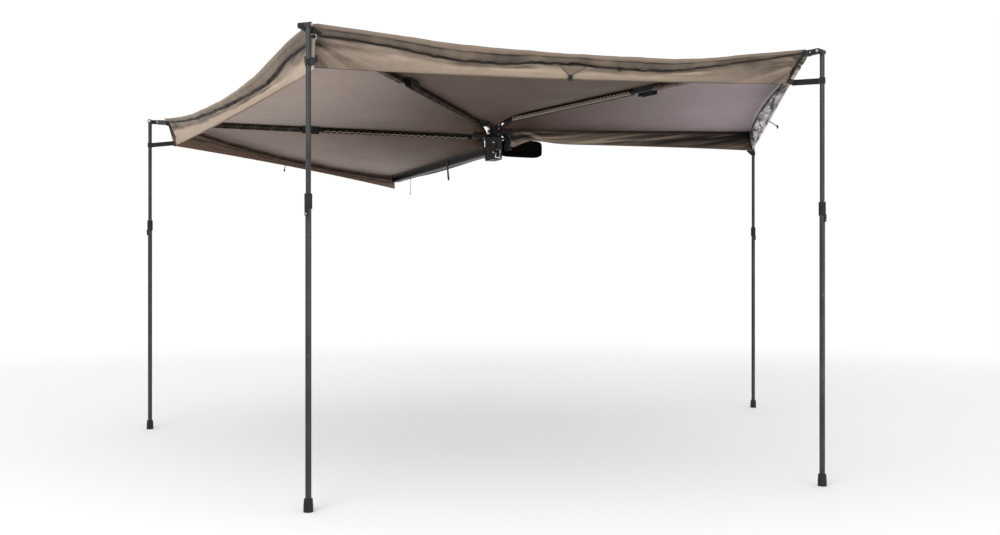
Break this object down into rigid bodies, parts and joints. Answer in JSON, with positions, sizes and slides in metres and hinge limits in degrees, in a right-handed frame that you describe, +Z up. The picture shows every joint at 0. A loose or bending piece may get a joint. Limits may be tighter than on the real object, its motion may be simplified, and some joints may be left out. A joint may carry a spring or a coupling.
{
  "type": "vehicle side awning",
  "caption": "Fan awning for a roof rack: a beam and corner hub carry swinging arms with drop-down poles, and a cloth canopy with a valance spans the arms.",
  "frame": {"origin": "centre of the rear rack bracket's underside", "axes": "+X forward along the beam, +Y away from the vehicle's left side, +Z up"},
  "size_m": [3.785, 3.7975, 1.8501],
  "materials": {
    "black_metal": "black powder coat",
    "grey_tube": "dark grey anodised",
    "black_plastic": "fine grained",
    "steel": "zinc plated",
    "brown_cloth": "woven, coated underneath",
    "bag_cloth": "coated black cloth",
    "webbing": "woven strap"
  },
  "bodies": {
    "hub": {"main_beam": "black_metal", "beam_end_cap": "black_plastic", "hub_base": "black_metal", "hub_top_plate": "black_metal", "hub_pin": "steel", "hub_nut": "steel", "rear_bracket": "black_metal", "front_bracket": "black_metal", "rear_bolts": "steel", "front_bolts": "steel", "storage_bag": "bag_cloth"},
    "arm_1": {"arm_1_knuckle": "black_metal", "arm_1_tube": "grey_tube", "arm_1_tip": "black_plastic", "arm_1_clip": "black_plastic", "pole_1_pin": "steel", "canopy_1": "brown_cloth"},
    "pole_1": {"pole_1_upper": "grey_tube", "pole_1_strap": "webbing"},
    "leg_1": {"pole_1_lower": "grey_tube", "pole_1_collar": "black_plastic", "pole_1_foot": "black_plastic"},
    "button_1": {"pole_1_button": "steel"},
    "arm_2": {"arm_2_knuckle": "black_metal", "arm_2_tube": "grey_tube", "arm_2_tip": "black_plastic", "arm_2_clip": "black_plastic", "pole_2_pin": "steel", "canopy_2": "brown_cloth"},
    "pole_2": {"pole_2_upper": "grey_tube", "pole_2_strap": "webbing"},
    "leg_2": {"pole_2_lower": "grey_tube", "pole_2_collar": "black_plastic", "pole_2_foot": "black_plastic"},
    "button_2": {"pole_2_button": "steel"},
    "arm_3": {"arm_3_knuckle": "black_metal", "arm_3_tube": "grey_tube", "arm_3_tip": "black_plastic", "arm_3_clip": "black_plastic", "pole_3_pin": "steel", "canopy_3": "brown_cloth"},
    "pole_3": {"pole_3_upper": "grey_tube", "pole_3_strap": "webbing"},
    "leg_3": {"pole_3_lower": "grey_tube", "pole_3_collar": "black_plastic", "pole_3_foot": "black_plastic"},
    "button_3": {"pole_3_button": "steel"},
    "arm_4": {"arm_4_knuckle": "black_metal", "arm_4_tube": "grey_tube", "arm_4_tip": "black_plastic", "arm_4_clip": "black_plastic", "pole_4_pin": "steel", "canopy_4": "brown_cloth", "last_valance": "brown_cloth"},
    "pole_4": {"pole_4_upper": "grey_tube", "pole_4_strap": "webbing"},
    "leg_4": {"pole_4_lower": "grey_tube", "pole_4_collar": "black_plastic", "pole_4_foot": "black_plastic"},
    "button_4": {"pole_4_button": "steel"}
  },
  "joints": [
    {"name": "arm_1_fold", "type": "hinge", "parent": "hub", "child": "arm_1", "pos_m": [-0.2, 0.0753, 0.075], "axis": [0, 0, 1], "range_deg": [-66.4, 0], "deforming": ["canopy_1"]},
    {"name": "pole_1_fold", "type": "hinge", "parent": "arm_1", "child": "pole_1", "pos_m": [0.66285, 1.86295, 0.173], "axis": [0.9164, -0.4003, 0], "range_deg": [-87.17, 0], "deforming": ["pole_1_strap"]},
    {"name": "leg_1_slide", "type": "slide", "parent": "pole_1", "child": "leg_1", "axis": [0, 0, -1], "range_m": [-0.42, 0.3]},
    {"name": "button_1_press", "type": "slide", "parent": "leg_1", "child": "button_1", "axis": [-0.4003, -0.9164, 0], "range_m": [0, 0.002], "stiffness_N_per_m": 600},
    {"name": "arm_2_fold", "type": "hinge", "parent": "arm_1", "child": "arm_2", "pos_m": [-0.2, 0.0753, 0.1284], "axis": [0, 0, 1], "range_deg": [-70.6, 0], "deforming": ["canopy_2"]},
    {"name": "pole_2_fold", "type": "hinge", "parent": "arm_2", "child": "pole_2", "pos_m": [-1.64003, 1.43866, 0.238], "axis": [0.682, 0.7314, 0], "range_deg": [-86.84, 0], "deforming": ["pole_2_strap"]},
    {"name": "leg_2_slide", "type": "slide", "parent": "pole_2", "child": "leg_2", "axis": [0, 0, -1], "range_m": [-0.42, 0.3]},
    {"name": "button_2_press", "type": "slide", "parent": "leg_2", "child": "button_2", "axis": [0.7314, -0.682, 0], "range_m": [0, 0.002], "stiffness_N_per_m": 600},
    {"name": "arm_3_fold", "type": "hinge", "parent": "arm_2", "child": "arm_3", "pos_m": [-0.2, 0.0753, 0.1551], "axis": [0, 0, 1], "range_deg": [-63.4, 0], "deforming": ["canopy_3"]},
    {"name": "pole_3_fold", "type": "hinge", "parent": "arm_3", "child": "pole_3", "pos_m": [-2.04421, -0.65857, 0.236], "axis": [-0.3486, 0.9373, 0], "range_deg": [-87.67, 0], "deforming": ["pole_3_strap"]},
    {"name": "leg_3_slide", "type": "slide", "parent": "pole_3", "child": "leg_3", "axis": [0, 0, -1], "range_m": [-0.42, 0.3]},
    {"name": "button_3_press", "type": "slide", "parent": "leg_3", "child": "button_3", "axis": [0.9373, 0.3486, 0], "range_m": [0, 0.002], "stiffness_N_per_m": 600},
    {"name": "arm_4_fold", "type": "hinge", "parent": "arm_3", "child": "arm_4", "pos_m": [-0.2, 0.0753, 0.1017], "axis": [0, 0, 1], "range_deg": [-73.2, 0], "deforming": ["canopy_4", "last_valance"]},
    {"name": "pole_4_fold", "type": "hinge", "parent": "arm_4", "child": "pole_4", "pos_m": [0.02927, -1.89667, 0.22], "axis": [-0.998, -0.0628, 0], "range_deg": [-86.58, 0], "deforming": ["pole_4_strap"]},
    {"name": "leg_4_slide", "type": "slide", "parent": "pole_4", "child": "leg_4", "axis": [0, 0, -1], "range_m": [-0.42, 0.3]},
    {"name": "button_4_press", "type": "slide", "parent": "leg_4", "child": "button_4", "axis": [-0.0628, 0.998, 0], "range_m": [0, 0.002], "stiffness_N_per_m": 600}
  ]
}
